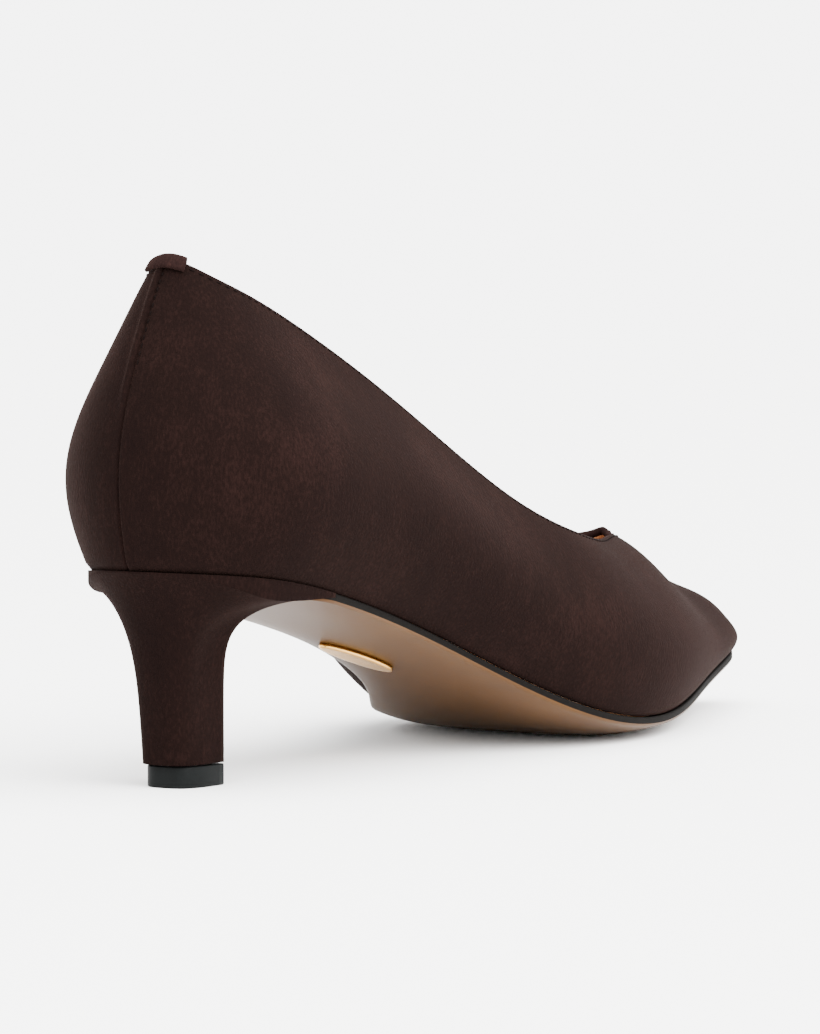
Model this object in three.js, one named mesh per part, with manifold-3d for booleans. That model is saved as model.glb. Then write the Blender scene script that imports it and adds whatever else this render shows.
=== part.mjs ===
// A right low heel pump in suede, as separate pieces: upper, back tab, insole, outsole, heel,
// top lift and sole plaque. Millimetres, +Z up, toe towards +Y, outer side of the foot towards +X.
// The origin is on the floor, under the middle of the heel's top lift.
import * as THREE from "three";
import { mergeVertices } from "three/addons/utils/BufferGeometryUtils.js";
import Module from "manifold-3d";

const wasm = await Module();
wasm.setup();

// Driving sizes of the last and of the sole
const soleLength = 249; // back of the sole to the tip of the toe, along the floor
const backReach = 18.5; // middle of the top lift to the back of the sole
const ballWidth = 72; // the sole at its widest
const seatHeight = 45; // floor to the underside of the upper, at the back
const toeSpring = 8.5; // how much higher the sole stands at the toe than at the ball
const soleRound = 3.2; // how far the sole's middle hangs below its edges at the ball
const crownHeight = 70; // section height of the last above the seat, at the back
const bulgeReach = 15; // how far the fullest part of the last stands outside the sole
const backLean = 26; // how far the back of the last would lean forward to its crown
const throatFlare = 3.2; // how far the edge of the vamp lifts at the throat

// Thicknesses and clearances
const upperWall = 1.8;
const soleThickness = 2.2;
const insoleThickness = 2.5;
const insoleSideGap = 0.6;
const pieceGap = 0.3;

// The heel
const stemWidth = 14;
const stemFront = 5.2; // front face of the stem, ahead of the origin
const stemBack = -8;
const breastLine = 6; // middle of the heel's front edge under the sole
const lipEnd = 21; // where the heel's side lips run out along the sole
const lipDepth = 5; // deepest that a lip could stand below the seat
const liftHeight = 4.5;
const liftInset = 0.4; // the lift's sides stand inside the stem's
const liftForward = 0.9; // the lift sits ahead of the stem's middle

// The tab folded over the back of the topline
const tabWidth = 8;
const tabDrop = 2.6;
const tabInsideDrop = 6;
const tabThickness = 0.8;
const tabGap = 0.45; // between the tab and the upper inside its fold

// The plain plaque under the arch
const plaqueLength = 19;
const plaqueWidth = 7;
const plaqueThickness = 1.1;
const plaqueBevel = 0.4;
const plaqueCentre = 66; // ahead of the origin
const plaqueOffset = -1; // from the axis
const plaqueTurn = 65; // degrees from straight across the sole

// Fineness of the faceted solids
const ribsPerSide = 40;
const rowsUp = 14;
const soleSteps = 44;
const soleColumns = 8;
const breastSteps = 8;
const heelSteps = 18;
const heelLevels = 14;
const stemSteps = 14;
const tabSteps = 12;
const weldDistance = 1e-4;

// Shape numbers without a length
const bumpPower = 8; // the higher, the closer to the sole the last is fullest
const flareAcross = 0.8; // the throat's flare starts here on the way from the back seam to the toe
const flareUp = 0.86; // and here on the way from the sole to the topline
const uprightUp = 0.2; // up to here the wall turns upright towards the sole
const treadPower = 4; // the higher, the flatter the sole is across
const stemRound = 0.62; // the lower, the squarer the stem's corners
const levelBunch = 1.7; // the higher, the closer the heel's levels stand near the seat

// One row for each section of the last, from the back seam to the tip of the toe.
// along: share of soleLength. outer, inner: edge of the sole from the axis, share of ballWidth.
// rise: share of seatHeight. spring: share of toeSpring. crown: share of crownHeight.
// bulge: share of bulgeReach. lean: share of backLean. full: how square the section's shoulder is.
// ridge: middle of the instep and vamp from the axis, share of ballWidth, positive on the outer side.
const sections = [
  {
    along: 0, outer: 0, inner: 0, rise: 1, spring: 0, round: 0,
    crown: 1, bulgeOut: 0.26, bulgeIn: 0.26, lean: 1, full: 0.95, ridge: 0,
  },
  {
    along: 0.035, outer: 0.23, inner: 0.225, rise: 0.985, spring: 0, round: 0.05,
    crown: 0.993, bulgeOut: 0.4, bulgeIn: 0.36, lean: 0.72, full: 0.85, ridge: 0,
  },
  {
    along: 0.1, outer: 0.325, inner: 0.315, rise: 0.94, spring: 0, round: 0.15,
    crown: 0.964, bulgeOut: 0.6, bulgeIn: 0.62, lean: 0.4, full: 0.83, ridge: 0,
  },
  {
    along: 0.2, outer: 0.33, inner: 0.28, rise: 0.82, spring: 0, round: 0.3,
    crown: 0.914, bulgeOut: 0.63, bulgeIn: 0.84, lean: 0.08, full: 0.95, ridge: 0.01,
  },
  {
    along: 0.32, outer: 0.33, inner: 0.175, rise: 0.62, spring: 0, round: 0.4,
    crown: 0.82, bulgeOut: 0.65, bulgeIn: 1, lean: 0, full: 1.4, ridge: 0.01,
  },
  {
    along: 0.44, outer: 0.39, inner: 0.225, rise: 0.36, spring: 0, round: 0.6,
    crown: 0.735, bulgeOut: 0.47, bulgeIn: 0.92, lean: 0, full: 1.7, ridge: -0.01,
  },
  {
    along: 0.54, outer: 0.46, inner: 0.42, rise: 0.18, spring: 0, round: 0.85,
    crown: 0.71, bulgeOut: 0.31, bulgeIn: 0.74, lean: 0, full: 1.5, ridge: -0.03,
  },
  {
    along: 0.64, outer: 0.445, inner: 0.54, rise: 0.122, spring: 0, round: 1,
    crown: 0.645, bulgeOut: 0.3, bulgeIn: 0.52, lean: 0, full: 1.25, ridge: -0.04,
  },
  {
    along: 0.74, outer: 0.35, inner: 0.51, rise: 0.122, spring: 0.12, round: 1,
    crown: 0.558, bulgeOut: 0.3, bulgeIn: 0.4, lean: 0, full: 1.1, ridge: -0.035,
  },
  {
    along: 0.84, outer: 0.22, inner: 0.375, rise: 0.122, spring: 0.4, round: 0.8,
    crown: 0.378, bulgeOut: 0.28, bulgeIn: 0.28, lean: 0, full: 1.03, ridge: -0.045,
  },
  {
    along: 0.92, outer: 0.13, inner: 0.235, rise: 0.122, spring: 0.72, round: 0.5,
    crown: 0.258, bulgeOut: 0.2, bulgeIn: 0.2, lean: 0, full: 1.1, ridge: -0.05,
  },
  {
    along: 0.975, outer: 0.065, inner: 0.145, rise: 0.122, spring: 0.94, round: 0.2,
    crown: 0.152, bulgeOut: 0.1, bulgeIn: 0.1, lean: 0, full: 1.1, ridge: -0.035,
  },
  {
    along: 1, outer: -0.02, inner: 0.02, rise: 0.122, spring: 1, round: 0,
    crown: 0, bulgeOut: 0, bulgeIn: 0, lean: 0, full: 1.1, ridge: 0,
  },
];

// The topline on the last, from the back seam to the throat.
// station: place between the sections' rows, 0 at the back and 1 at the toe. up: degrees up the section.
const topline = [
  { station: 0, up: 63 },
  { station: 0.09, up: 59.5 },
  { station: 0.18, up: 57.5 },
  { station: 0.28, up: 55.3 },
  { station: 0.37, up: 52.3 },
  { station: 0.46, up: 51.9 },
  { station: 0.54, up: 56.3 },
  { station: 0.61, up: 65.3 },
  { station: 0.66, up: 74.3 },
  { station: 0.685, up: 84 },
  { station: 0.69, up: 90 },
];

// The heel's ribs from the back round to the end of its side lip, at even steps along the seat's edge.
// taper: share of the spread that runs straight. power, bend: how late and how tightly it turns out.
// lip: height of the upright band under the seat, share of lipDepth.
const heelRibs = [
  { taper: 0.4, power: 4.5, bend: 1, lip: 0.12 },
  { taper: 0.25, power: 4.5, bend: 1, lip: 0.32 },
  { taper: 0.05, power: 7, bend: 0.6, lip: 0.88 },
  { taper: 0, power: 8, bend: 0.5, lip: 0.24 },
];

// A smooth curve through values at even steps, read at t from 0 to 1. level: at which ends it is level.
// Each slope is tied to its neighbours', so they are worked out in one sweep forward and one back.
function spline(values, level = [false, false]) {
  const n = values.length - 1;
  const share = [];
  const slopes = [];
  for (let i = 0; i <= n; i++) {
    const end = i === 0 || i === n;
    const tied = (i === 0 && level[0]) || (i === n && level[1]) ? 0 : 1;
    const pivot = (end ? 2 : 4) - (i > 0 ? tied * share[i - 1] : 0);
    const gain = 3 * (values[Math.min(i + 1, n)] - values[Math.max(i - 1, 0)]);
    share.push(tied / pivot);
    slopes.push((tied * (gain - (i > 0 ? slopes[i - 1] : 0))) / pivot);
  }
  for (let i = n - 1; i >= 0; i--) slopes[i] -= share[i] * slopes[i + 1];
  return (t) => {
    const x = THREE.MathUtils.clamp(t, 0, 1) * n;
    const i = Math.min(Math.floor(x), n - 1);
    const f = x - i;
    const step = values[i + 1] - values[i];
    const bend = (1 - f) * (slopes[i] - step) + f * (step - slopes[i + 1]);
    return values[i] + f * step + f * (1 - f) * bend;
  };
}

// What both sides share is level at the back seam, so that they meet there without a crease.
const column = (name, size, level) => {
  const curve = spline(sections.map((row) => row[name]), level);
  return (t) => size * curve(t);
};
const levelBack = [true, false];
const along = column("along", soleLength, [true, true]);
const stationY = (t) => along(t) - backReach;
const outer = column("outer", ballWidth);
const inner = column("inner", ballWidth);
const rise = column("rise", seatHeight, levelBack);
const spring = column("spring", toeSpring, levelBack);
const crown = column("crown", crownHeight, levelBack);
const bulgeOut = column("bulgeOut", bulgeReach);
const bulgeIn = column("bulgeIn", bulgeReach);
const lean = column("lean", backLean, levelBack);
const round = column("round", soleRound);
const full = column("full", 1, levelBack);
const ridge = column("ridge", ballWidth);

// The station whose section stands at y
function stationAt(y) {
  let low = 0;
  let high = 1;
  for (let i = 0; i < 40; i++) {
    const middle = (low + high) / 2;
    if (stationY(middle) < y) low = middle;
    else high = middle;
  }
  return (low + high) / 2;
}

// Underside of the upper, which is the top of the sole and of the heel's seat
const featherAt = (t) => rise(t) + spring(t);
const feather = (y) => featherAt(stationAt(y));

// The edge of the sole. side is 1 on the outer side and -1 on the inner side.
const edge = (t, side) => new THREE.Vector2(side > 0 ? outer(t) : -inner(t), stationY(t));

function edgeNormal(t, side) {
  const small = 1e-3;
  if (t < small) return new THREE.Vector2(0, -1);
  if (t > 1 - small) return new THREE.Vector2(0, 1);
  const way = edge(t + small, side).sub(edge(t - small, side)).normalize();
  return new THREE.Vector2(side * way.y, -side * way.x);
}

// A point of the last's surface. angle goes from 0 at the sole's edge to a right angle at the ridge.
const bumpPeak = Math.pow(bumpPower / (bumpPower + 1), bumpPower / 2) / Math.sqrt(bumpPower + 1);
function lastPoint(t, angle, side) {
  const c = Math.cos(angle);
  const s = Math.sin(angle);
  const shut = Math.pow(1 - c, full(t));
  const bulge = side > 0 ? bulgeOut(t) : bulgeIn(t);
  const bump = (bulge * s * Math.pow(Math.max(c, 0), bumpPower)) / bumpPeak;
  const foot = edge(t, side);
  const out = edgeNormal(t, side);
  return new THREE.Vector3(
    foot.x + out.x * bump + (ridge(t) - foot.x) * shut,
    foot.y + out.y * bump + lean(t) * (1 - c),
    featherAt(t) + crown(t) * s,
  );
}

// The upper's own grid: across runs from the back seam (0) to the toe (1), up from the sole (0) to the
// topline (1). The four borders are the sole's edge, the topline, the back seam and the ridge of the toe.
const upCurve = spline(topline.map((row) => row.up), [true, false]);
const placeCurve = spline(topline.map((row) => row.station), [false, true]);
function gridPlace(across, up) {
  const polar = (t, degrees) => {
    const a = THREE.MathUtils.degToRad(degrees);
    return new THREE.Vector2((1 - t) * Math.cos(a), (1 - t) * Math.sin(a));
  };
  const bottom = new THREE.Vector2(1 - across, 0);
  const top = polar(placeCurve(across), upCurve(across));
  const backTop = topline[0].up;
  const back = polar(0, backTop * up);
  const ridgeEnd = 1 - topline[topline.length - 1].station;
  const crest = new THREE.Vector2(0, ridgeEnd * up);
  const place = bottom.multiplyScalar(1 - up).addScaledVector(top, up);
  place.addScaledVector(back, 1 - across).addScaledVector(crest, across);
  place.addScaledVector(new THREE.Vector2(1, 0), -(1 - across) * (1 - up));
  place.addScaledVector(polar(0, backTop), -(1 - across) * up);
  place.addScaledVector(new THREE.Vector2(0, ridgeEnd), -across * up);
  return { station: 1 - place.length(), angle: Math.atan2(place.y, place.x) };
}

// The outside of the upper. It lies on the last, and at the throat its edge lifts a little.
function upperPoint(across, up, side) {
  const place = gridPlace(across, up);
  const point = lastPoint(place.station, place.angle, side);
  const { smoothstep } = THREE.MathUtils;
  point.z += throatFlare * smoothstep(across, flareAcross, 1) * smoothstep(up, flareUp, 1);
  return point;
}

// Outward direction of the upper's surface, level at the sole so that the wall stands on it
function upperNormal(across, up, side) {
  const small = 2e-3;
  const point = (a, u) => upperPoint(THREE.MathUtils.clamp(a, 0, 1), THREE.MathUtils.clamp(u, 0, 1), side);
  const forward = point(across + small, up).sub(point(across - small, up));
  const upward = point(across, up + small).sub(point(across, up - small));
  const normal = forward.cross(upward).multiplyScalar(side);
  const onAxis = across < small || across > 1 - small;
  if (onAxis) normal.x = 0;
  normal.z *= THREE.MathUtils.smoothstep(up, 0, uprightUp);
  return normal.normalize();
}

// Joins points and quads or triangles into one closed geometry, without collapsed faces
function skin(quads) {
  const flat = [];
  for (const quad of quads) {
    const triangles = quad.length === 4 ? [[0, 1, 2], [0, 2, 3]] : [[0, 1, 2]];
    for (const triangle of triangles) {
      const [a, b, c] = triangle.map((i) => quad[i]);
      const shortest = Math.min(a.distanceTo(b), b.distanceTo(c), c.distanceTo(a));
      if (shortest > weldDistance) flat.push(...a.toArray(), ...b.toArray(), ...c.toArray());
    }
  }
  const geometry = new THREE.BufferGeometry();
  geometry.setAttribute("position", new THREE.Float32BufferAttribute(flat, 3));
  return mergeVertices(geometry, weldDistance);
}

// Quads between the rows of a grid of points. closed joins the last column to the first.
function sheet(rows, closed = false, flip = false) {
  const quads = [];
  const columns = rows[0].length;
  for (let i = 0; i < rows.length - 1; i++) {
    for (let j = 0; j < (closed ? columns : columns - 1); j++) {
      const k = (j + 1) % columns;
      const quad = [rows[i][j], rows[i][k], rows[i + 1][k], rows[i + 1][j]];
      quads.push(flip ? quad.reverse() : quad);
    }
  }
  return quads;
}

// A solid that can be cut, from a closed geometry, and back again
function solid(geometry) {
  const plain = new THREE.BufferGeometry();
  plain.setAttribute("position", geometry.getAttribute("position"));
  plain.setIndex(geometry.index);
  const merged = mergeVertices(plain, weldDistance);
  const vertProperties = merged.getAttribute("position").array;
  return new wasm.Manifold(new wasm.Mesh({ numProp: 3, vertProperties, triVerts: merged.index.array }));
}

function geometryOf(manifold) {
  const mesh = manifold.getMesh();
  const geometry = new THREE.BufferGeometry();
  geometry.setAttribute("position", new THREE.BufferAttribute(new Float32Array(mesh.vertProperties), 3));
  geometry.setIndex(new THREE.BufferAttribute(new Uint32Array(mesh.triVerts), 1));
  return geometry;
}

// One loop of the upper's grid at a height: from the back seam along the outer side to the toe, and
// back along the inner side. inset moves it in from the outside of the wall.
function upperLoop(up, inset) {
  const loop = [];
  const point = (across, side) =>
    upperPoint(across, up, side).addScaledVector(upperNormal(across, up, side), -inset);
  for (let i = 0; i <= ribsPerSide; i++) loop.push(point(i / ribsPerSide, 1));
  for (let i = ribsPerSide - 1; i > 0; i--) loop.push(point(i / ribsPerSide, -1));
  return loop;
}

function makeUpper() {
  const heights = Array.from({ length: rowsUp + 1 }, (_, i) => i / rowsUp);
  const outside = heights.map((up) => upperLoop(up, 0));
  const inside = heights.map((up) => upperLoop(up, upperWall));
  const quads = [
    ...sheet(outside, true),
    ...sheet(inside, true, true),
    ...sheet([inside[0], outside[0]], true),
    ...sheet([outside[rowsUp], inside[rowsUp]], true),
  ];
  return skin(quads);
}

// A plate under the foot, between the outer and inner edge points of the same stations
function plate(outerEdge, innerEdge, columns, top, bottom) {
  const line = (height) =>
    outerEdge.map((a, i) => {
      const b = innerEdge[i];
      return Array.from({ length: columns + 1 }, (_, j) => {
        const share = j / columns;
        const x = a.x + (b.x - a.x) * share;
        const y = a.y + (b.y - a.y) * share;
        return new THREE.Vector3(x, y, height(x, y));
      });
    });
  const tops = line(top);
  const bottoms = line(bottom);
  const sides = (j) => [tops.map((row) => row[j]), bottoms.map((row) => row[j])];
  return skin([
    ...sheet(tops, false, true),
    ...sheet(bottoms),
    ...sheet(sides(0), false, true),
    ...sheet(sides(columns)),
  ]);
}

function insetEdge(t, side, inset) {
  return edge(t, side).addScaledVector(edgeNormal(t, side), -inset);
}

function makeInsole() {
  const inset = upperWall + insoleSideGap;
  const stations = Array.from({ length: soleSteps + 1 }, (_, i) => i / soleSteps);
  const line = (side) => stations.map((t) => insetEdge(t, side, inset));
  const floor = (x, y) => soleLevel(x, y) + soleThickness + 2 * pieceGap;
  return plate(line(1), line(-1), soleColumns, (x, y) => floor(x, y) + insoleThickness, floor);
}

// The outsole's outline on one side: round the heel's breast, then along the edge. grow widens it.
function outsoleEdge(side, grow) {
  const points = [];
  for (let i = 0; i < breastSteps; i++) {
    const turn = (i / breastSteps) * (Math.PI / 2);
    const y = breastLine - grow + (lipEnd - breastLine) * (1 - Math.cos(turn));
    const x = (edge(stationAt(y), side).x + side * grow) * Math.sin(turn);
    points.push(new THREE.Vector2(x, y));
  }
  const first = stationAt(lipEnd - grow);
  for (let i = 0; i <= soleSteps; i++) {
    const t = first + ((1 - first) * i) / soleSteps;
    points.push(insetEdge(t, side, -grow));
  }
  return points;
}

// Underside of the outsole, which hangs lower in its middle and is flat where it treads
function soleLevel(x, y) {
  const t = stationAt(y);
  const half = Math.max((outer(t) + inner(t)) / 2, 1);
  const share = Math.min(Math.abs(x - (outer(t) - inner(t)) / 2) / half, 1);
  const hang = round(t) * (1 - Math.pow(share, treadPower));
  return Math.max(0, featherAt(t) - pieceGap - soleThickness - hang);
}

function makeOutsole() {
  const top = (x, y) => soleLevel(x, y) + soleThickness;
  return plate(outsoleEdge(1, 0), outsoleEdge(-1, 0), soleColumns, top, soleLevel);
}

// A point of the stem's D shape. turn goes from the middle of its back to its front corner.
function stemPoint(turn, side, inset = 0) {
  const half = stemWidth / 2 - inset;
  const depth = stemFront - stemBack - 2 * inset;
  return new THREE.Vector2(
    side * half * Math.pow(Math.sin(turn), stemRound),
    stemFront - inset - depth * Math.pow(Math.cos(turn), stemRound),
  );
}

// The heel's ribs on one side: round from the back to the end of the lip, then along the breast
function heelSide(side) {
  const columns = ["taper", "power", "bend", "lip"].map((name) => spline(heelRibs.map((row) => row[name])));
  const lipStation = stationAt(lipEnd);
  const ribs = [];
  for (let i = 0; i <= heelSteps; i++) {
    const share = i / heelSteps;
    const [taper, power, bend, lip] = columns.map((curve) => curve(share));
    const seat = edge(lipStation * share, side);
    const stem = stemPoint((share * Math.PI) / 2, side);
    ribs.push({ stem, seat, taper, power, bend, lip: lip * lipDepth });
  }
  const { power, bend, lip } = heelRibs[heelRibs.length - 1];
  const middleLip = soleThickness + 2 * pieceGap;
  for (let i = 1; i <= breastSteps; i++) {
    const share = i / breastSteps;
    const turn = (1 - share) * (Math.PI / 2);
    const y = breastLine + (lipEnd - breastLine) * (1 - Math.cos(turn));
    const seat = new THREE.Vector2(edge(stationAt(y), side).x * Math.sin(turn), y);
    const stem = new THREE.Vector2(side * (stemWidth / 2) * (1 - share), stemFront);
    const drop = THREE.MathUtils.lerp(lip * lipDepth, middleLip, Math.min(1, 2 * share));
    ribs.push({ stem, seat, taper: 0, power, bend, lip: drop });
  }
  return ribs;
}

// The heel's block rises past the seat by overCut and is then cut to the seat and around the outsole
function makeHeel() {
  const overCut = 0.5;
  const ribs = [...heelSide(1), ...heelSide(-1).slice(1, -1).reverse()];
  const low = liftHeight + pieceGap;
  const rows = Array.from({ length: heelLevels + 2 }, (_, j) =>
    ribs.map(({ stem, seat, taper, power, bend, lip }) => {
      const top = feather(seat.y);
      if (j > heelLevels) return new THREE.Vector3(seat.x, seat.y, top + overCut);
      const share = 1 - Math.pow(1 - j / heelLevels, levelBunch);
      const turned = 1 - Math.pow(1 - Math.pow(share, power), bend);
      const place = stem.clone().lerp(seat, taper * share + (1 - taper) * turned);
      return new THREE.Vector3(place.x, place.y, THREE.MathUtils.lerp(low, top - lip, share));
    }),
  );
  const lowMiddle = new THREE.Vector3(0, (stemFront + stemBack) / 2, low);
  const highMiddle = new THREE.Vector3(0, 0, feather(0) + overCut);
  const highest = rows[rows.length - 1];
  const quads = sheet(rows, true);
  ribs.forEach((_, j) => {
    const k = (j + 1) % ribs.length;
    quads.push([lowMiddle, rows[0][k], rows[0][j]]);
    quads.push([highMiddle, highest[j], highest[k]]);
  });
  const sole = plate(
    outsoleEdge(1, pieceGap),
    outsoleEdge(-1, pieceGap),
    soleColumns,
    (x, y) => feather(y) + 2 * overCut,
    (x, y) => soleLevel(x, y) - pieceGap,
  );
  const heel = solid(skin(quads)).subtract(solid(aboveSeat())).subtract(solid(sole)).getMesh();
  const geometry = new THREE.BufferGeometry();
  geometry.setAttribute("position", new THREE.BufferAttribute(heel.vertProperties, 3));
  geometry.setIndex(new THREE.BufferAttribute(heel.triVerts, 1));
  return geometry;
}

// A block that fills the space over the heel's seat
function aboveSeat() {
  const reach = ballWidth;
  const step = 2;
  const outline = new THREE.Shape();
  outline.moveTo(-reach, 2 * seatHeight);
  for (let y = -reach; y <= reach; y += step) outline.lineTo(y, feather(y) - pieceGap);
  outline.lineTo(reach, 2 * seatHeight);
  const block = new THREE.ExtrudeGeometry(outline, { depth: 2 * reach, bevelEnabled: false });
  const upright = new THREE.Matrix4().set(0, 0, 1, -reach, 1, 0, 0, 0, 0, 1, 0, 0, 0, 0, 0, 1);
  block.applyMatrix4(upright);
  block.deleteAttribute("normal");
  block.deleteAttribute("uv");
  return mergeVertices(block, weldDistance);
}

function makeTopLift() {
  const turns = Array.from({ length: stemSteps + 1 }, (_, i) => ((i / stemSteps) * Math.PI) / 2);
  const half = (side) => turns.map((turn) => stemPoint(turn, side, liftInset));
  const outline = new THREE.Shape([...half(1), ...half(-1).slice(1).reverse()]);
  const geometry = new THREE.ExtrudeGeometry(outline, { depth: liftHeight, bevelEnabled: false });
  return geometry.translate(0, liftForward, 0);
}

// The tab: a strip folded over the topline at the back seam
function makeTab() {
  const justBelow = 0.97;
  const searchStep = 0.002;
  let spread = searchStep;
  while (upperPoint(spread, 1, 1).x < tabWidth / 2) spread += searchStep;
  const far = tabGap + tabThickness;
  const section = (_, i) => {
    const share = (2 * i) / tabSteps - 1;
    const side = share < 0 ? -1 : 1;
    const across = Math.abs(share) * spread;
    const rim = upperPoint(across, 1, side);
    const out = upperNormal(across, 1, side);
    const climb = rim.clone().sub(upperPoint(across, justBelow, side)).normalize();
    const at = (offset, height) => rim.clone().addScaledVector(out, offset).addScaledVector(climb, height);
    return [
      at(far, -tabDrop),
      at(far, tabGap),
      at(tabGap, far),
      at(-upperWall - tabGap, far),
      at(-upperWall - far, tabGap),
      at(-upperWall - far, -tabInsideDrop),
      at(-upperWall - tabGap, -tabInsideDrop),
      at(-upperWall - tabGap, tabGap),
      at(tabGap, tabGap),
      at(tabGap, -tabDrop),
    ];
  };
  const rows = Array.from({ length: tabSteps + 1 }, section);
  const end = (row) => [
    [row[0], row[1], row[8], row[9]],
    [row[1], row[2], row[8]],
    [row[2], row[3], row[7], row[8]],
    [row[3], row[4], row[7]],
    [row[4], row[5], row[6], row[7]],
  ];
  const turned = (quads) => quads.map((quad) => quad.slice().reverse());
  return skin([...sheet(rows, true, true), ...end(rows[0]), ...turned(end(rows[tabSteps]))]);
}

// A plain oval plaque with bevelled rims, lying on the underside of the arch
function makePlaque() {
  const oval = new THREE.Shape();
  oval.absellipse(0, 0, plaqueLength / 2 - plaqueBevel, plaqueWidth / 2 - plaqueBevel, 0, 2 * Math.PI);
  const geometry = new THREE.ExtrudeGeometry(oval, {
    depth: plaqueThickness - 2 * plaqueBevel,
    bevelThickness: plaqueBevel,
    bevelSize: plaqueBevel,
    bevelSegments: 1,
    curveSegments: 20,
  });
  const level = (y) => soleLevel(plaqueOffset, y);
  const reach = plaqueWidth / 2;
  const fall = level(plaqueCentre + reach) - level(plaqueCentre - reach);
  geometry.rotateZ(-THREE.MathUtils.degToRad(plaqueTurn));
  geometry.rotateX(Math.PI + Math.atan2(fall, 2 * reach));
  return geometry.translate(plaqueOffset, plaqueCentre, level(plaqueCentre) - pieceGap - plaqueBevel);
}

const suede = { color: "#3a2624", roughness: 0.95, metalness: 0 };
const pieces = [
  ["upper", makeUpper(), suede],
  ["back_tab", makeTab(), suede],
  ["insole", makeInsole(), { color: "#b98458", roughness: 0.6, metalness: 0 }],
  ["outsole", makeOutsole(), { color: "#7d5a3c", roughness: 0.5, metalness: 0 }],
  ["heel", makeHeel(), suede],
  ["top_lift", makeTopLift(), { color: "#26292a", roughness: 0.5, metalness: 0 }],
  ["sole_plaque", makePlaque(), { color: "#d9a65a", roughness: 0.25, metalness: 1 }],
];

const shoe = new THREE.Group();
for (const [name, geometry, finish] of pieces) {
  const mesh = new THREE.Mesh(geometry, new THREE.MeshStandardMaterial(finish));
  mesh.name = name;
  shoe.add(mesh);
}

export default shoe;
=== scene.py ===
# %% [markdown]
# A low heel pump in brown suede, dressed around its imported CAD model. The frame comes first:
# it says where every piece sits, in metres, with the toe towards +Y and the floor at z = 0.

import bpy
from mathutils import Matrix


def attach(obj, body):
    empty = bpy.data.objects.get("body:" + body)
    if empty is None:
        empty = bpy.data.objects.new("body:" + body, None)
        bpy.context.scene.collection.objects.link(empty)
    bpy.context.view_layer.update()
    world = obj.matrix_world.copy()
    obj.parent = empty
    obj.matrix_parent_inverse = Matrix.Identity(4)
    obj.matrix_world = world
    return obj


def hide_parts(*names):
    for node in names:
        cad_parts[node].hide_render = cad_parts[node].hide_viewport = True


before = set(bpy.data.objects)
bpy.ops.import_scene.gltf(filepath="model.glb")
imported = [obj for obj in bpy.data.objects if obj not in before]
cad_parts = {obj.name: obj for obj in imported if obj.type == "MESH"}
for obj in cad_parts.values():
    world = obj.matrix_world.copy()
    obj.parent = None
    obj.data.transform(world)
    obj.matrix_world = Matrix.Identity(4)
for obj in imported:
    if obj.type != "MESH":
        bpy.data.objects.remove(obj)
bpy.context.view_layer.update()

# %% [markdown]
# Everything else is worked out in millimetres, as a shoemaker measures, and turned to metres
# only when a mesh is made.

# %% Tools and units
import math

import bmesh
import bpy
import numpy as np
from mathutils import Vector

MM = 0.001

# %% [markdown]
# A shoe is made over a last, so the last comes first. Its driving sizes are the ones a last maker
# uses: length along the floor, ball width, heel height, instep and toe spring. They are the same
# as the CAD part's, because each piece made here has to lie on the solid that it replaces.

# %% Sizes of the last, the sole and the heel
SOLE_LENGTH = 249
BACK_REACH = 18.5
BALL_WIDTH = 72
SEAT_HEIGHT = 45
TOE_SPRING = 8.5
SOLE_ROUND = 3.2
CROWN_HEIGHT = 70
BULGE_REACH = 15
BACK_LEAN = 26
THROAT_FLARE = 3.2  # how far the vamp's edge lifts at the throat

WALL = 1.8
SOLE_THICKNESS = 2.2
INSOLE_THICKNESS = 2.5
INSOLE_SIDE_GAP = 0.6
GAP = 0.3

STEM_WIDTH = 14
STEM_FRONT = 5.2
STEM_BACK = -8
BREAST_LINE = 6
LIP_END = 21
LIP_DEPTH = 5
LIFT_HEIGHT = 4.5
LIFT_INSET = 0.4
LIFT_FORWARD = 0.9

TAB_WIDTH = 8
TAB_DROP = 2.6
TAB_INSIDE_DROP = 6
TAB_THICKNESS = 0.8
TAB_GAP = 0.45

PLAQUE_LENGTH = 19
PLAQUE_WIDTH = 7
PLAQUE_THICKNESS = 1.1
PLAQUE_CENTRE = 66
PLAQUE_OFFSET = -1
PLAQUE_TURN = 65

# %% [markdown]
# One row for each section of the last, from the back seam to the tip of the toe. Lengths are
# shares of the sizes above. "outer" and "inner" are the sole's edge from the axis, "crown" is how
# high the section rises, "bulge" how far it stands outside the sole, and "ridge" where the top of
# the instep runs. A smooth curve through each column gives every section in between.

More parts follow.
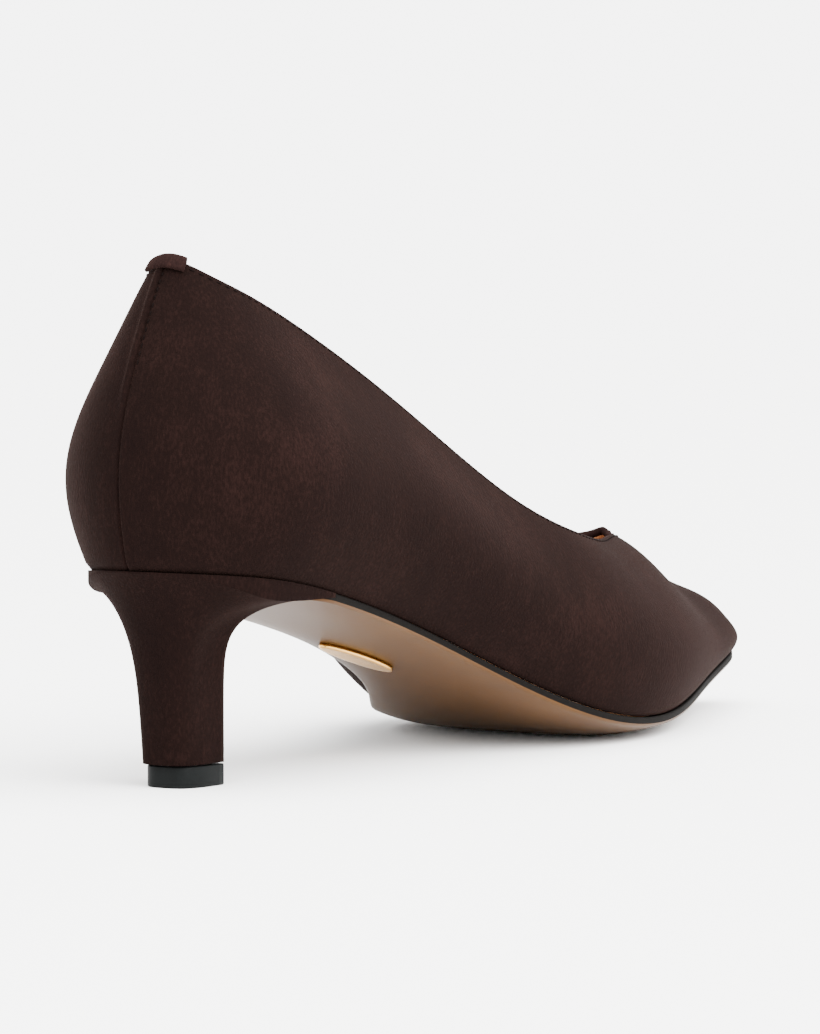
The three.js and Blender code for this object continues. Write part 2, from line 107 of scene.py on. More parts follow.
# %% The sections of the last
COLUMNS = (
    "along", "outer", "inner", "rise", "spring", "round",
    "crown", "bulge_out", "bulge_in", "lean", "full", "ridge",
)
SECTIONS = (
    (0.0, 0.0, 0.0, 1.0, 0, 0, 1.0, 0.26, 0.26, 1.0, 0.95, 0),
    (0.035, 0.23, 0.225, 0.985, 0, 0.05, 0.993, 0.4, 0.36, 0.72, 0.85, 0),
    (0.1, 0.325, 0.315, 0.94, 0, 0.15, 0.964, 0.6, 0.62, 0.4, 0.83, 0),
    (0.2, 0.33, 0.28, 0.82, 0, 0.3, 0.914, 0.63, 0.84, 0.08, 0.95, 0.01),
    (0.32, 0.33, 0.175, 0.62, 0, 0.4, 0.82, 0.65, 1.0, 0, 1.4, 0.01),
    (0.44, 0.39, 0.225, 0.36, 0, 0.6, 0.735, 0.47, 0.92, 0, 1.7, -0.01),
    (0.54, 0.46, 0.42, 0.18, 0, 0.85, 0.71, 0.31, 0.74, 0, 1.5, -0.03),
    (0.64, 0.445, 0.54, 0.122, 0, 1.0, 0.645, 0.3, 0.52, 0, 1.25, -0.04),
    (0.74, 0.35, 0.51, 0.122, 0.12, 1.0, 0.558, 0.3, 0.4, 0, 1.1, -0.035),
    (0.84, 0.22, 0.375, 0.122, 0.4, 0.8, 0.378, 0.28, 0.28, 0, 1.03, -0.045),
    (0.92, 0.13, 0.235, 0.122, 0.72, 0.5, 0.258, 0.2, 0.2, 0, 1.1, -0.05),
    (0.975, 0.065, 0.145, 0.122, 0.94, 0.2, 0.152, 0.1, 0.1, 0, 1.1, -0.035),
    (1.0, -0.02, 0.02, 0.122, 1.0, 0, 0, 0, 0, 0, 1.1, 0),
)
# Where the topline lies: station between the rows above (0 back, 1 toe) and degrees up the section
TOPLINE = (
    (0, 63), (0.09, 59.5), (0.18, 57.5), (0.28, 55.3), (0.37, 52.3), (0.46, 51.9),
    (0.54, 56.3), (0.61, 65.3), (0.66, 74.3), (0.685, 84), (0.69, 90),
)


def smooth_curve(values, level=(False, False)):
    """A cubic curve through values at even steps, read at 0 to 1. level: which ends are level."""
    values = np.asarray(values, float)
    n = len(values) - 1
    system = np.zeros((n + 1, n + 1))
    right = np.zeros(n + 1)
    for i in range(n + 1):
        end = i in (0, n)
        system[i, i] = 2 if end else 4
        if end and level[0 if i == 0 else 1]:
            continue
        for j in (i - 1, i + 1):
            if 0 <= j <= n:
                system[i, j] = 1
        right[i] = 3 * (values[min(i + 1, n)] - values[max(i - 1, 0)])
    slopes = np.linalg.solve(system, right)

    def read(t):
        x = np.clip(t, 0, 1) * n
        i = np.minimum(x.astype(int), n - 1) if isinstance(x, np.ndarray) else min(int(x), n - 1)
        f = x - i
        step = values[i + 1] - values[i]
        bend = (1 - f) * (slopes[i] - step) + f * (step - slopes[i + 1])
        return values[i] + f * step + f * (1 - f) * bend

    return read


def column(name, size, level=(False, False)):
    """One column of the table as lengths in millimetres."""
    at = COLUMNS.index(name)
    return smooth_curve([row[at] * size for row in SECTIONS], level)


# What both sides share is level at the back seam, so that they meet there without a crease
LEVEL_BACK = (True, False)
along = column("along", SOLE_LENGTH, (True, True))
outer = column("outer", BALL_WIDTH)
inner = column("inner", BALL_WIDTH)
rise = column("rise", SEAT_HEIGHT, LEVEL_BACK)
spring = column("spring", TOE_SPRING, LEVEL_BACK)
sole_round = column("round", SOLE_ROUND)
crown = column("crown", CROWN_HEIGHT, LEVEL_BACK)
bulge_out = column("bulge_out", BULGE_REACH)
bulge_in = column("bulge_in", BULGE_REACH)
lean = column("lean", BACK_LEAN, LEVEL_BACK)
full = column("full", 1, LEVEL_BACK)
ridge = column("ridge", BALL_WIDTH)
topline_station = smooth_curve([row[0] for row in TOPLINE], (False, True))
topline_up = smooth_curve([row[1] for row in TOPLINE], (True, False))
print("last:", len(SECTIONS), "sections,", SOLE_LENGTH, "mm long")

# %% [markdown]
# The sole's edge, also called the feather line, is a curve over the floor, and the sections stand
# on it. A section leaves the edge, swells to the fullest part of the foot and closes towards the
# ridge. Two numbers find any place: the station along the shoe and the angle up the section.

# %% The surface of the last
BUMP_POWER = 8
BUMP_PEAK = (BUMP_POWER / (BUMP_POWER + 1)) ** (BUMP_POWER / 2) / math.sqrt(BUMP_POWER + 1)
fine_stations = np.linspace(0, 1, 4001)
fine_y = along(fine_stations) - BACK_REACH


def station_at(y):
    """The station whose section stands at y."""
    return np.interp(y, fine_y, fine_stations)


def feather_at(t):
    """Height of the upper's lower edge, on which the sections stand."""
    return rise(t) + spring(t)


def edge(t, side):
    """The sole's edge at a station, as x and y. side is 1 on the outer side, -1 on the inner."""
    x = outer(t) if side > 0 else -inner(t)
    return x, along(t) - BACK_REACH


def edge_normal(t, side):
    """Level direction out of the sole's edge."""
    small = 1e-3
    x0, y0 = edge(np.maximum(t - small, 0), side)
    x1, y1 = edge(np.minimum(t + small, 1), side)
    length = np.hypot(x1 - x0, y1 - y0) + 1e-12
    nx = side * (y1 - y0) / length
    ny = -side * (x1 - x0) / length
    nx = np.where((t < small) | (t > 1 - small), 0, nx)
    ny = np.where(t < small, -1, np.where(t > 1 - small, 1, ny))
    return nx, ny


def last_point(t, angle, side):
    """A point of the last, from the sole's edge (angle 0) to the ridge (a right angle)."""
    c = np.maximum(np.cos(angle), 0)
    s = np.sin(angle)
    shut = (1 - c) ** full(t)
    bulge = bulge_out(t) if side > 0 else bulge_in(t)
    bump = bulge * s * c**BUMP_POWER / BUMP_PEAK
    x, y = edge(t, side)
    nx, ny = edge_normal(t, side)
    return np.stack(
        [
            x + nx * bump + (ridge(t) - x) * shut,
            y + ny * bump + lean(t) * (1 - c),
            feather_at(t) + crown(t) * s,
        ],
        axis=-1,
    )


ball_station = station_at(np.float64(140))
print("width over the ball in mm:", round(float(outer(ball_station) + inner(ball_station)), 1))


# %% [markdown]
# The upper doesn't cover the whole last: it stops at the topline. So it gets a grid of its own,
# with "across" from the back seam (0) to the toe (1) and "up" from the sole (0) to the topline
# (1). The four borders are blended into a net, which keeps the rows even and free of folds.

# %% The upper's own grid
# Places on the grid where the throat's flare starts, and below which the wall stands upright
FLARE_ACROSS = 0.8
FLARE_UP = 0.86
UPRIGHT_UP = 0.2


def polar(t, degrees):
    angle = np.radians(degrees)
    return np.stack([(1 - t) * np.cos(angle), (1 - t) * np.sin(angle)], axis=-1)


def grid_place(across, up):
    """Station and angle of a place on the upper, blended from the grid's four borders."""
    a = across[..., None]
    u = up[..., None]
    zero = np.zeros_like(across)
    back_top = TOPLINE[0][1]
    ridge_end = 1 - TOPLINE[-1][0]
    bottom = np.stack([1 - across, zero], axis=-1)
    top = polar(topline_station(across), topline_up(across))
    back = polar(zero, back_top * up)
    toe = np.stack([zero, ridge_end * up], axis=-1)
    corners = (
        (1 - a) * (1 - u) * np.array([1.0, 0.0])
        + (1 - a) * u * polar(np.float64(0), back_top)
        + a * u * np.array([0.0, ridge_end])
    )
    place = bottom * (1 - u) + top * u + back * (1 - a) + toe * a - corners
    return 1 - np.hypot(place[..., 0], place[..., 1]), np.arctan2(place[..., 1], place[..., 0])


def unit(v):
    return v / (np.linalg.norm(v, axis=-1, keepdims=True) + 1e-12)


def smooth_step(x, low, high):
    f = np.clip((x - low) / (high - low), 0, 1)
    return f * f * (3 - 2 * f)


def upper_point(across, up, side):
    """The outside of the upper: the last's surface, with the edge a little off it at the throat."""
    across, up = np.broadcast_arrays(np.asarray(across, float), np.asarray(up, float))
    t, angle = grid_place(across, up)
    points = last_point(t, angle, side)
    near_throat = smooth_step(across, FLARE_ACROSS, 1) * smooth_step(up, FLARE_UP, 1)
    points[..., 2] += THROAT_FLARE * near_throat
    return points


def upper_normal(across, up, side):
    """Outward direction, turned level towards the sole so that the wall stands on it."""
    across, up = np.broadcast_arrays(np.asarray(across, float), np.asarray(up, float))
    small = 2e-3
    low_a, high_a = np.maximum(across - small, 0), np.minimum(across + small, 1)
    low_u, high_u = np.maximum(up - small, 0), np.minimum(up + small, 1)
    da = upper_point(high_a, up, side) - upper_point(low_a, up, side)
    du = upper_point(across, high_u, side) - upper_point(across, low_u, side)
    n = np.cross(da, du) * side
    on_axis = (across < small) | (across > 1 - small)
    n[..., 0] = np.where(on_axis, 0, n[..., 0])
    n[..., 1] = np.where(across > 1 - small, np.abs(n[..., 1]), n[..., 1])
    n[..., 2] *= smooth_step(up, 0, UPRIGHT_UP)
    return unit(n)


def rib_length(across, side):
    """Length of the upper from the sole to the topline at each place across."""
    steps = np.linspace(0, 1, 60)
    points = upper_point(across[:, None], steps[None, :], side)
    return np.linalg.norm(np.diff(points, axis=1), axis=2).sum(axis=1)


sample = np.array([0.0, 0.5, 1.0])
print("rib lengths in mm at back, middle and toe:", rib_length(sample, 1).round(1))

# %% [markdown]
# Materials are made of nodes. One small function adds a node, sets it and links it, and one
# turns a hex colour, as a paint chart gives it, into the linear light that a shader works in.

# %% Helpers for materials
def linear(hex_colour):
    """A colour from sRGB hex to linear light."""
    values = [int(hex_colour[i : i + 2], 16) / 255 for i in (1, 3, 5)]
    return tuple(v / 12.92 if v <= 0.04045 else ((v + 0.055) / 1.055) ** 2.4 for v in values) + (1.0,)


def add_node(tree, kind, settings=None, links=None):
    """Adds a node. Settings go to its properties or sockets, links to its input sockets."""
    node = tree.nodes.new(kind)
    for name, value in (settings or {}).items():
        if isinstance(name, str) and hasattr(node, name):
            setattr(node, name, value)
        else:
            node.inputs[name].default_value = value
    for name, source in (links or {}).items():
        tree.links.new(source, node.inputs[name])
    return node


def new_material(name):
    """An empty material with its tree, its output and the object's own coordinates in metres."""
    material = bpy.data.materials.new(name)
    material.use_nodes = True
    tree = material.node_tree
    tree.nodes.clear()
    output = add_node(tree, "ShaderNodeOutputMaterial")
    place = add_node(tree, "ShaderNodeTexCoord").outputs["Object"]
    return material, tree, output, place


def per_mm(size):
    """Scale of a noise whose largest grain is about size millimetres."""
    return 1 / (size * MM)


print("suede brown in linear light:", [round(v, 4) for v in linear("#3a2624")[:3]])


# %% [markdown]
# Suede is the flesh side of a hide, sanded to a nap of short fibres. It has no gloss: fibres
# stand up and catch light at their tips, so edges look paler, and where the nap has been stroked
# the brown shifts in soft clouds. The fibres are about 0.1 mm, too fine for the picture, so the
# finest grain is drawn near 0.5 mm.

# %% Suede
NAP_COLOURS = ("#060303", "#0d0605", "#1b0f0d")
# A paler copy of the suede: a painted highlight where light catches the turned topline edge and the folded
# back tab.
PAINTED_HIGHLIGHT_COLOURS = ("#0a0505", "#160c0b", "#281815")


def suede(name, colours):
    material, tree, output, place = new_material(name)
    brushed = add_node(
        tree, "ShaderNodeMapping", {"Scale": (1.0, 0.8, 0.4), "Rotation": (0.5, 0.0, 0.3)},
        {"Vector": place},
    ).outputs["Vector"]
    # Clouds where a hand stroked the nap, short strokes inside them, and the fibres themselves
    layers = ((26, 3.0, 0.5, 0.14, place), (4.0, 4.0, 0.55, 0.08, brushed), (0.5, 2.0, 0.7, 0.17, brushed))
    nap = None
    for size, detail, roughness, share, vector in layers:
        noise = add_node(
            tree, "ShaderNodeTexNoise",
            {"Scale": per_mm(size), "Detail": detail, "Roughness": roughness},
            {"Vector": vector},
        )
        centred = add_node(
            tree, "ShaderNodeMapRange",
            {"From Min": 0.25, "From Max": 0.75, "To Min": -share, "To Max": share},
            {"Value": noise.outputs["Fac"]},
        )
        start = {"operation": "ADD"} if nap else {"operation": "ADD", 1: 0.5}
        links = {0: centred.outputs["Result"]}
        if nap:
            links[1] = nap.outputs[0]
        nap = add_node(tree, "ShaderNodeMath", start, links)
    colour = add_node(tree, "ShaderNodeValToRGB", {}, {"Fac": nap.outputs[0]})
    ramp = colour.color_ramp
    ramp.elements[0].color = linear(colours[0])
    ramp.elements[1].color = linear(colours[2])
    ramp.elements.new(0.5).color = linear(colours[1])
    bump = add_node(
        tree, "ShaderNodeBump", {"Strength": 0.6, "Distance": 0.3 * MM},
        {"Height": noise.outputs["Fac"]},
    )
    shader = add_node(
        tree, "ShaderNodeBsdfPrincipled",
        {
            "Roughness": 0.95,
            "IOR": 1.45,
            "Specular IOR Level": 0.03,
            "Sheen Weight": 0.04,
            "Sheen Roughness": 0.4,
            "Sheen Tint": linear("#a07060"),
        },
        {"Base Color": colour.outputs["Color"], "Normal": bump.outputs["Normal"]},
    )
    tree.links.new(shader.outputs[0], output.inputs["Surface"])
    return material


SUEDE = suede("brushed_suede", NAP_COLOURS)
SUEDE_PAINTED_HIGHLIGHT = suede("suede_painted_edge_highlight", PAINTED_HIGHLIGHT_COLOURS)
print("suede ready:", len(SUEDE.node_tree.nodes), "nodes")

# %% [markdown]
# Lining and sock are thin tan goatskin. It keeps its grain: pebbles of about half a millimetre
# under a dull wax finish, so it has a soft shine that suede lacks.

# %% Tan lining leather
def lining_leather():
    material, tree, output, place = new_material("tan_goatskin")
    tone = add_node(
        tree, "ShaderNodeTexNoise", {"Scale": per_mm(18), "Detail": 3.0}, {"Vector": place}
    )
    colour = add_node(tree, "ShaderNodeValToRGB", {}, {"Fac": tone.outputs["Fac"]})
    colour.color_ramp.elements[0].position = 0.3
    colour.color_ramp.elements[0].color = linear("#8f5f3a")
    colour.color_ramp.elements[1].position = 0.7
    colour.color_ramp.elements[1].color = linear("#a6734a")
    grain = add_node(
        tree, "ShaderNodeTexVoronoi", {"Scale": per_mm(0.8), "feature": "SMOOTH_F1"}, {"Vector": place}
    )
    bump = add_node(
        tree, "ShaderNodeBump", {"Strength": 0.3, "Distance": 0.12 * MM},
        {"Height": grain.outputs["Distance"]},
    )
    shader = add_node(
        tree, "ShaderNodeBsdfPrincipled",
        {"Roughness": 0.5, "IOR": 1.5, "Coat Weight": 0.1, "Coat Roughness": 0.35},
        {"Base Color": colour.outputs["Color"], "Normal": bump.outputs["Normal"]},
    )
    tree.links.new(shader.outputs[0], output.inputs["Surface"])
    return material


LINING = lining_leather()

# %% [markdown]
# The outsole is firm vegetable-tanned leather, waxed and burnished on the tread. Pores hardly
# show. Its cut edge is sanded and painted with charcoal edge ink, which dries to a satin skin.

# %% Sole leather and edge paint
def sole_leather():
    material, tree, output, place = new_material("burnished_sole_leather")
    tone = add_node(
        tree, "ShaderNodeTexNoise", {"Scale": per_mm(30), "Detail": 4.0, "Roughness": 0.6}, {"Vector": place}
    )
    colour = add_node(tree, "ShaderNodeValToRGB", {}, {"Fac": tone.outputs["Fac"]})
    colour.color_ramp.elements[0].position = 0.3
    colour.color_ramp.elements[0].color = linear("#372006")
    colour.color_ramp.elements[1].position = 0.7
    colour.color_ramp.elements[1].color = linear("#412809")
    pores = add_node(
        tree, "ShaderNodeTexNoise", {"Scale": per_mm(0.7), "Detail": 2.0}, {"Vector": place}
    )
    bump = add_node(
        tree, "ShaderNodeBump", {"Strength": 0.12, "Distance": 0.1 * MM}, {"Height": pores.outputs["Fac"]}
    )
    shader = add_node(
        tree, "ShaderNodeBsdfPrincipled",
        {
            "Roughness": 0.42,
            "IOR": 1.5,
            "Specular IOR Level": 0.08,
            "Coat Weight": 0.04,
            "Coat Roughness": 0.25,
        },
        {"Base Color": colour.outputs["Color"], "Normal": bump.outputs["Normal"]},
    )
    tree.links.new(shader.outputs[0], output.inputs["Surface"])
    return material


def edge_paint():
    material, tree, output, place = new_material("charcoal_edge_ink")
    speck = add_node(
        tree, "ShaderNodeTexNoise", {"Scale": per_mm(1.2), "Detail": 3.0}, {"Vector": place}
    )
    colour = add_node(tree, "ShaderNodeValToRGB", {}, {"Fac": speck.outputs["Fac"]})
    colour.color_ramp.elements[0].color = linear("#090807")
    colour.color_ramp.elements[1].color = linear("#100e0d")
    bump = add_node(
        tree, "ShaderNodeBump", {"Strength": 0.2, "Distance": 0.08 * MM}, {"Height": speck.outputs["Fac"]}
    )
    shader = add_node(
        tree, "ShaderNodeBsdfPrincipled", {"Roughness": 0.7, "IOR": 1.5, "Specular IOR Level": 0.02},
        {"Base Color": colour.outputs["Color"], "Normal": bump.outputs["Normal"]},
    )
    tree.links.new(shader.outputs[0], output.inputs["Surface"])
    return material


SOLE = sole_leather()
EDGE = edge_paint()

# %% [markdown]
# The top lift is moulded polyurethane, near black. It leaves the mould with a fine even texture,
# and rubs to a soft shine. The plaque under the arch is thin plated brass, left bare.

# %% Lift plastic, plated metal and thread
def lift_plastic():
    material, tree, output, place = new_material("moulded_polyurethane")
    speck = add_node(
        tree, "ShaderNodeTexNoise", {"Scale": per_mm(0.6), "Detail": 2.0}, {"Vector": place}
    )
    colour = add_node(tree, "ShaderNodeValToRGB", {}, {"Fac": speck.outputs["Fac"]})
    colour.color_ramp.elements[0].color = linear("#060707")
    colour.color_ramp.elements[1].color = linear("#0c0e0e")
    bump = add_node(
        tree, "ShaderNodeBump", {"Strength": 0.25, "Distance": 0.06 * MM}, {"Height": speck.outputs["Fac"]}
    )
    shader = add_node(
        tree, "ShaderNodeBsdfPrincipled", {"Roughness": 0.45, "IOR": 1.5, "Specular IOR Level": 0.05},
        {"Base Color": colour.outputs["Color"], "Normal": bump.outputs["Normal"]},
    )
    tree.links.new(shader.outputs[0], output.inputs["Surface"])
    return material


def plated_brass():
    material, tree, output, place = new_material("plated_brass")
    haze = add_node(
        tree, "ShaderNodeTexNoise", {"Scale": per_mm(4), "Detail": 4.0}, {"Vector": place}
    )
    rough = add_node(
        tree, "ShaderNodeMapRange", {"To Min": 0.16, "To Max": 0.3}, {"Value": haze.outputs["Fac"]}
    )
    shader = add_node(
        tree, "ShaderNodeBsdfPrincipled", {"Base Color": linear("#d9a65a"), "Metallic": 1.0},
        {"Roughness": rough.outputs["Result"]},
    )
    tree.links.new(shader.outputs[0], output.inputs["Surface"])
    return material


def waxed_thread():
    material, tree, output, place = new_material("waxed_thread")
    twist = add_node(
        tree, "ShaderNodeTexNoise", {"Scale": per_mm(0.5), "Detail": 2.0}, {"Vector": place}
    )
    colour = add_node(tree, "ShaderNodeValToRGB", {}, {"Fac": twist.outputs["Fac"]})
    colour.color_ramp.elements[0].color = linear("#060303")
    colour.color_ramp.elements[1].color = linear("#0c0706")
    shader = add_node(
        tree, "ShaderNodeBsdfPrincipled", {"Roughness": 0.85, "IOR": 1.5, "Specular IOR Level": 0.02},
        {"Base Color": colour.outputs["Color"]},
    )
    tree.links.new(shader.outputs[0], output.inputs["Surface"])
    return material


LIFT = lift_plastic()
PLATE = plated_brass()
THREAD = waxed_thread()
print("materials:", [m.name for m in (SUEDE, LINING, SOLE, EDGE, LIFT, PLATE, THREAD)])

# %% [markdown]
# Each piece is a net of points, rows by columns. One function lays faces over such a net and closes it where
# asked, one turns it into a mesh with smooth shading and its materials, and one hangs it on the frame and
# hides the CAD node that it stands for.

# %% From a net of points to a piece
def net_faces(rows, columns, closed_rows=False, closed_columns=False):
    faces = []
    for i in range(rows if closed_rows else rows - 1):
        k = (i + 1) % rows
        for j in range(columns if closed_columns else columns - 1):
            m = (j + 1) % columns
            faces.append((i * columns + j, i * columns + m, k * columns + m, k * columns + j))
    return faces


def make_piece(name, points, faces, materials, face_materials=None, merge=0.005):
    """A smooth mesh object from points in millimetres."""
    mesh = bpy.data.meshes.new(name)
    mesh.from_pydata((np.asarray(points).reshape(-1, 3) * MM).tolist(), [], faces)
    for material in materials:
        mesh.materials.append(material)
    if face_materials is not None:
        mesh.polygons.foreach_set("material_index", np.asarray(face_materials, dtype=np.int32))
    work = bpy.data.objects.new(name, mesh)
    bpy.context.collection.objects.link(work)
    clean(mesh, merge)
    return work


def clean(mesh, merge):
    """Joins points that fall together and turns all faces outward."""
    work = bmesh.new()
    work.from_mesh(mesh)
    bmesh.ops.remove_doubles(work, verts=work.verts, dist=merge * MM)
    bmesh.ops.dissolve_degenerate(work, dist=merge * MM * 0.1, edges=work.edges)
    bmesh.ops.recalc_face_normals(work, faces=work.faces)
    work.to_mesh(mesh)
    work.free()
    mesh.polygons.foreach_set("use_smooth", [True] * len(mesh.polygons))
    mesh.update()


def hand_over(piece, nodes):
    """Hangs a piece on the frame's root and hides the CAD nodes it stands for."""
    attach(piece, "root")
    if nodes:
        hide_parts(*nodes)
    print(piece.name, len(piece.data.polygons), "faces")


# %% [markdown]
# The upper is two suede halves joined by a seam down the back, with their top edge turned over.
# The seam is a real step: the pieces meet in a fine groove between two soft swells. The ribs stand
# close together at the seam, so that its form is in the mesh, and wider along the sides.

# %% The suede shell
RIBS = 170
ROWS = 60
EDGE_RADIUS = WALL / 2
TURNED_IN = 0.6
LINING_START = 0.02
SUEDE_WEIGHT = 1.1
TUCK = 0.7
TUCK_HEIGHT = 1.3
SKIRT = 0.24
SEAM_SWELL = 0.6
SEAM_WIDTH = 0.9
SEAM_TURN = 78
SEAM_BLEND = 6
SEAM_FROM, SEAM_TO = -30, -5
RIM_ROWS = 10
LINING_REACH = 0.2
LINING_SET_IN = 0.06
LAYER_GAP = 0.08
GROOVE_DEPTH = 0.45
GROOVE_WIDTH = 0.3
across_ribs = np.linspace(0, 1, RIBS + 1) ** 1.6


def seam_relief(points):
    """How far the surface swells or sinks beside the back seam.

    The seam allowance lies under the inner half near the top, and under the outer half lower down.
    """
    x = points[..., 0]
    at_back = smooth_step(-points[..., 1], SEAM_FROM, SEAM_TO)
    high = smooth_step(points[..., 2], SEAM_TURN - SEAM_BLEND, SEAM_TURN + SEAM_BLEND)
    inner_swell = np.exp(-(((x + SEAM_WIDTH) / SEAM_WIDTH) ** 2))
    outer_swell = np.exp(-(((x - SEAM_WIDTH) / SEAM_WIDTH) ** 2))
    swell = SEAM_SWELL * (high * inner_swell + (1 - high) * 0.5 * outer_swell)
    groove = GROOVE_DEPTH * np.exp(-((x / GROOVE_WIDTH) ** 2))
    return at_back * (swell - groove)


def shell_profile(across, side, layer):
    """Points round the wall at each rib: up the outside, over the edge and down the inside."""
    length = rib_length(across, side)[:, None]
    a = across[:, None]
    end = 1 - EDGE_RADIUS / length
    ups = np.linspace(0, 1, ROWS)[None, :] * end
    outside = upper_point(a, ups, side)
    normal = upper_normal(a, ups, side)
    height = ups * length
    tuck = TUCK * np.clip(1 - height / TUCK_HEIGHT, 0, 1) ** 2
    relief = seam_relief(outside) - tuck
    surface = outside + normal * relief[..., None]
    # The wall reaches down into the gap under it, as the glued edge of the suede does
    surface[:, 0, 2] -= SKIRT
    top = upper_point(a, end, side)
    top_normal = upper_normal(a, end, side)
    climb = unit(top - upper_point(a, end - 0.02, side))
    inside_ups = end - np.linspace(0, 1, 5)[None, :] * TURNED_IN / length
    if layer == "suede":
        turn = np.linspace(0, np.pi, 9)[None, 1:, None]
        over = top + top_normal * (EDGE_RADIUS * (np.cos(turn) - 1)) + climb * (EDGE_RADIUS * np.sin(turn))
        over += top_normal * seam_relief(top)[..., None]
        down = upper_point(a, inside_ups, side) - upper_normal(a, inside_ups, side) * WALL
        back_ups = np.linspace(1, 0, ROWS)[None, :] * inside_ups[:, -1:]
        back = upper_point(a, back_ups, side) - upper_normal(a, back_ups, side) * SUEDE_WEIGHT
        back[:, -1, 2] -= SKIRT
        return np.concatenate([surface, over, down[:, 1:], back], axis=1)
    ups = np.linspace(LINING_START, 1, ROWS)[None, :] * (inside_ups[:, -1:] + LINING_REACH / length)
    inner_side = upper_point(a, ups, side) - upper_normal(a, ups, side) * (WALL + LINING_SET_IN)
    outer_side = upper_point(a, ups, side) - upper_normal(a, ups, side) * (SUEDE_WEIGHT + LAYER_GAP)
    return np.concatenate([outer_side, inner_side[:, ::-1]], axis=1)


def shell(name, layer, material, nodes):
    right_side = shell_profile(across_ribs, 1, layer)
    left_side = shell_profile(across_ribs[1:-1], -1, layer)[::-1]
    points = np.concatenate([right_side, left_side], axis=0)
    faces = net_faces(points.shape[0], points.shape[1], closed_rows=True, closed_columns=True)
    # Faces over the turned edge take the paler suede copy: a painted highlight along the fold.
    rim = range(ROWS, ROWS + RIM_ROWS)
    picks = [1 if face[0] % points.shape[1] in rim and layer == "suede" else 0 for face in faces]
    piece = make_piece(name, points, faces, [material, SUEDE_PAINTED_HIGHLIGHT], picks)
    hand_over(piece, nodes)
    return piece


shell("upper_suede", "suede", SUEDE, ["upper"])
shell("upper_lining", "lining", LINING, ["upper"])

# %% [markdown]
# The tab at the back is a strip of the same suede folded over the topline. It is a short sweep
# of one folded section across the width of the strip, with its cut edges rounded a little.

# %% The back tab
TAB_SETTLE = -0.55
TAB_CUT = 0.25


def tab_section(across, side):
    rim = upper_point(across, 1.0, side)
    out = upper_normal(across, 1.0, side)
    climb = unit(rim - upper_point(across, 0.97, side))
    middle = -WALL / 2
    radius = WALL / 2 + TAB_GAP
    far = radius + TAB_THICKNESS
    path = []
    turns = np.linspace(0, np.pi, 13)
    path += [(far + middle, -TAB_DROP + TAB_CUT), (far + middle, -TAB_DROP / 2)]
    path += [(middle + far * math.cos(w), TAB_SETTLE + far * math.sin(w)) for w in turns]
    path += [(middle - far, -TAB_INSIDE_DROP / 2), (middle - far, -TAB_INSIDE_DROP)]
    path += [(middle - radius, -TAB_INSIDE_DROP), (middle - radius, -TAB_INSIDE_DROP / 2)]
    path += [(middle + radius * math.cos(w), TAB_SETTLE + radius * math.sin(w)) for w in turns[::-1]]
    path += [(middle + radius, -TAB_DROP / 2), (middle + radius, -TAB_DROP)]
    path += [(far + middle - TAB_CUT, -TAB_DROP)]
    return np.stack([rim + out * o + climb * c for o, c in path])


def back_tab():
    spread = 0.01
    while upper_point(spread, 1.0, 1)[0] < TAB_WIDTH / 2:
        spread += 0.001
    shares = np.linspace(-1, 1, 25)
    rows = np.stack([tab_section(abs(s) * spread, 1 if s >= 0 else -1) for s in shares])
    faces = net_faces(rows.shape[0], rows.shape[1], closed_columns=True)
    count = rows.shape[1]
    half = count // 2
    for row in (0, rows.shape[0] - 1):
        for j in range(half - 1):
            a, b = row * count + j, row * count + j + 1
            c, d = row * count + count - 2 - j, row * count + count - 1 - j
            faces.append((a, b, c, d))
    # The whole tab takes the paler suede copy: a painted highlight on the fold.
    piece = make_piece("back_tab_suede", rows, faces, [SUEDE_PAINTED_HIGHLIGHT])
    bevel = piece.modifiers.new("soft_edges", "BEVEL")
    bevel.width = 0.12 * MM
    bevel.segments = 2
    bevel.limit_method = "ANGLE"
    hand_over(piece, ["back_tab"])


back_tab()

# %% [markdown]
# The sole hangs a little lower in its middle than at its edges, and is flat where it treads.
# Insole and outsole are both plates that follow that level, so one function makes them: a loop
# of points round each cross-section, swept from the back to the toe.

# %% Plates under the foot
TREAD_POWER = 4


def sole_level(x, y):
    """Height of the outsole's underside."""
    t = station_at(y)
    half = np.maximum((outer(t) + inner(t)) / 2, 1)
    share = np.minimum(np.abs(x - (outer(t) - inner(t)) / 2) / half, 1)
    hang = sole_round(t) * (1 - share**TREAD_POWER)
    return np.maximum(feather_at(t) - GAP - SOLE_THICKNESS - hang, 0)


def inset_edge(t, side, inset):
    x, y = edge(t, side)
    nx, ny = edge_normal(t, side)
    return np.stack([x - nx * inset, y - ny * inset], axis=-1)


def breast_and_edge(side, steps):
    """Outline of the outsole: round the heel's breast and on along its edge."""
    turn = np.linspace(0, np.pi / 2, 16)[:-1]
    y = BREAST_LINE + (LIP_END - BREAST_LINE) * (1 - np.cos(turn))
    x, _ = edge(station_at(y), side)
    start = np.stack([x * np.sin(turn), y], axis=-1)
    stations = np.linspace(station_at(np.float64(LIP_END)), 1, steps)
    return np.concatenate([start, inset_edge(stations, side, 0)], axis=0)


def plate_sections(outer_line, inner_line, bottom, thickness, corner, columns):
    """A loop round each cross-section: along the underside, up the edge and back over the top."""
    shares = (1 - np.cos(np.linspace(0, np.pi, columns))) / 2
    across = outer_line[:, None, :] + (inner_line - outer_line)[:, None, :] * shares[None, :, None]
    low = bottom(across[..., 0], across[..., 1])
    width = np.linalg.norm(inner_line - outer_line, axis=-1)[:, None]
    from_edge = np.minimum(shares, 1 - shares)[None, :] * width
    inside = np.clip(1 - from_edge / corner, 0, 1)
    round_off = corner * (1 - np.sqrt(1 - inside**2))
    under = np.concatenate([across, (low + round_off)[..., None]], axis=-1)
    over = np.concatenate([across, (low + thickness - round_off)[..., None]], axis=-1)
    return np.concatenate([under, over[:, ::-1]], axis=1)


